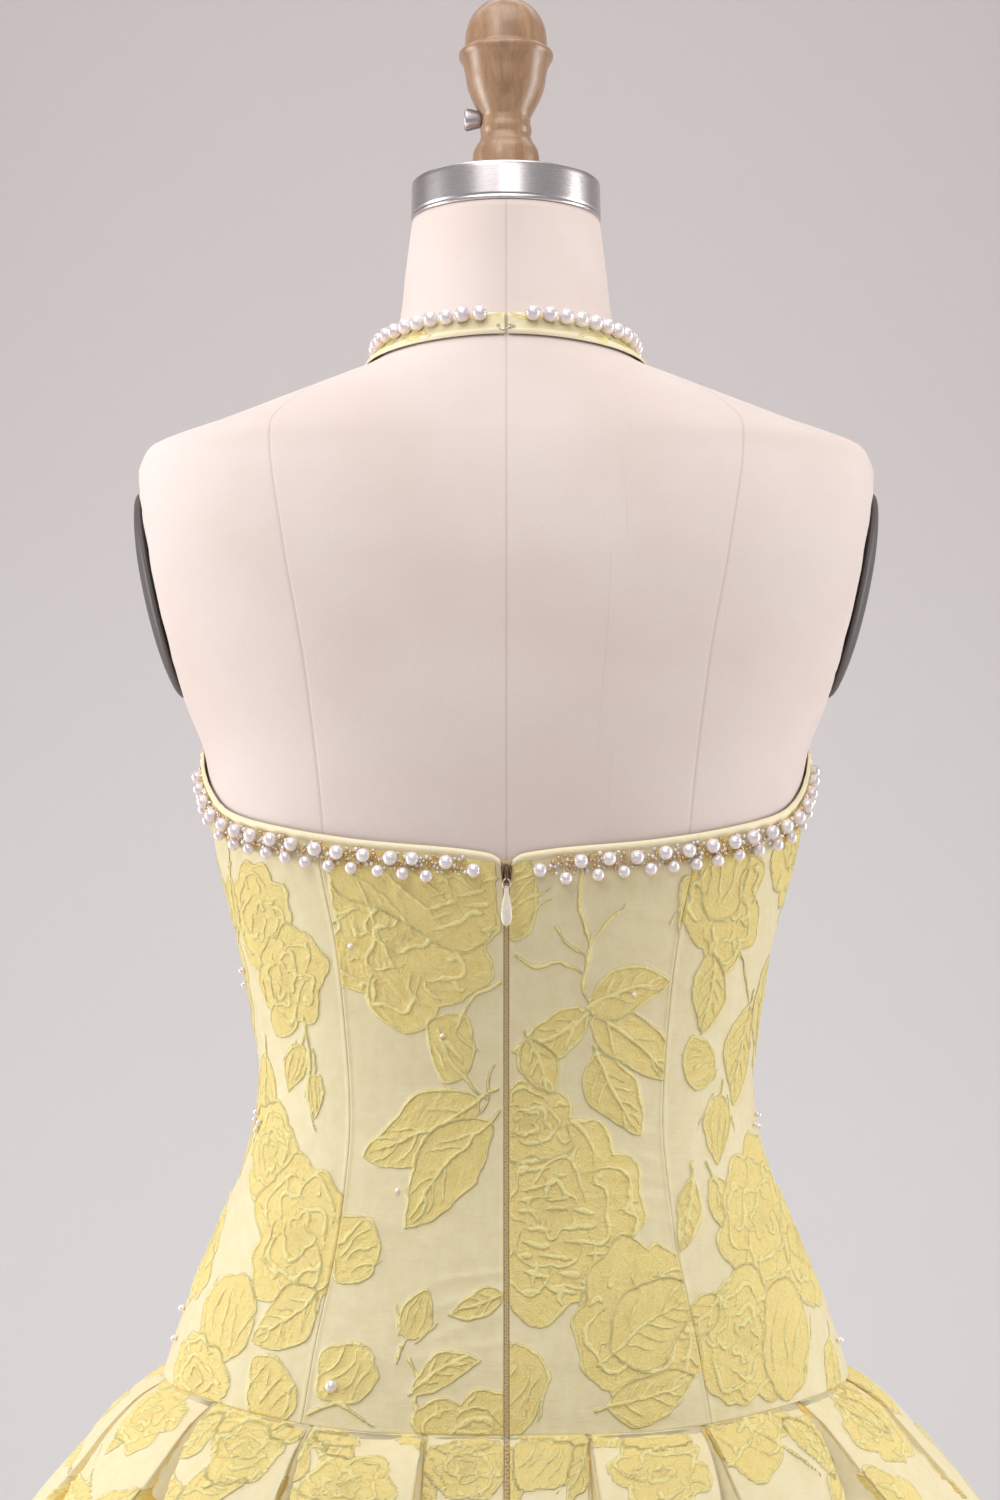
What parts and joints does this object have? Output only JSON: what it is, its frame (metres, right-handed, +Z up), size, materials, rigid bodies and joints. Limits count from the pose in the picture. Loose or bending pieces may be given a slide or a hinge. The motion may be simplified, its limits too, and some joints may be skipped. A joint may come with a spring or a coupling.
{
  "type": "homecoming dress on dress form",
  "caption": "Short halter dress in raised floral jacquard with pearl-edged open back, drop waist and box-pleated skirt, on a limbless dress form with a round-footed stand.",
  "frame": {"origin": "centre of the underside of the stand's round foot, on the floor", "axes": "+Z up, +Y towards the wearer's front, so the zipped back faces -Y; +X towards the wearer's right"},
  "size_m": [0.7172, 0.5834, 1.6085],
  "materials": {
    "jacquard": "cream-yellow satin ground with deeper yellow raised crinkled flowers and leaves",
    "skirt_jacquard": "the same jacquard, pleated",
    "pearl_trim": "white pearl lustre, with small gold and crystal beads between",
    "zip_tape": "tan woven tape in the zip's groove",
    "zip_metal": "dark antique bronze",
    "zip_pull": "cream enamel",
    "hook_wire": "dull wire",
    "form_cover": "matt cream cover cloth with fine seams",
    "neck_steel": "turned and brushed",
    "finial_wood": "turned pale brown wood, satin lacquer",
    "screw_steel": "small bright clamp screw",
    "arm_plate": "satin grey",
    "pole_steel": "satin steel tube",
    "foot_iron": "painted warm grey"
  },
  "bodies": {
    "dress_on_form": {"center_back_left": "jacquard", "center_back_right": "jacquard", "side_back_left": "jacquard", "side_back_right": "jacquard", "side_front_left": "jacquard", "side_front_right": "jacquard", "center_front_left": "jacquard", "center_front_right": "jacquard", "halter_band_left": "jacquard", "halter_band_right": "jacquard", "skirt_back_left": "skirt_jacquard", "skirt_back_right": "skirt_jacquard", "skirt_side_left": "skirt_jacquard", "skirt_side_right": "skirt_jacquard", "skirt_front": "skirt_jacquard", "pearl_trim_back_left": "pearl_trim", "pearl_trim_back_right": "pearl_trim", "pearl_trim_armhole_left": "pearl_trim", "pearl_trim_armhole_right": "pearl_trim", "pearl_row_neck_left": "pearl_trim", "pearl_row_neck_right": "pearl_trim", "zip_chain": "zip_tape", "zip_slider": "zip_metal", "nape_hook": "hook_wire", "form_torso": "form_cover", "neck_cap": "neck_steel", "finial": "finial_wood", "finial_screw": "screw_steel", "arm_plate_left": "arm_plate", "arm_plate_right": "arm_plate", "stand_pole": "pole_steel", "stand_foot": "foot_iron"},
    "pull": {"zip_pull": "zip_pull"}
  },
  "joints": [
    {"name": "zip_pull_swing", "type": "hinge", "parent": "dress_on_form", "child": "pull", "pos_m": [0, -0.10446, 1.1484], "axis": [-1, 0, 0], "range_deg": [0, 150]}
  ]
}
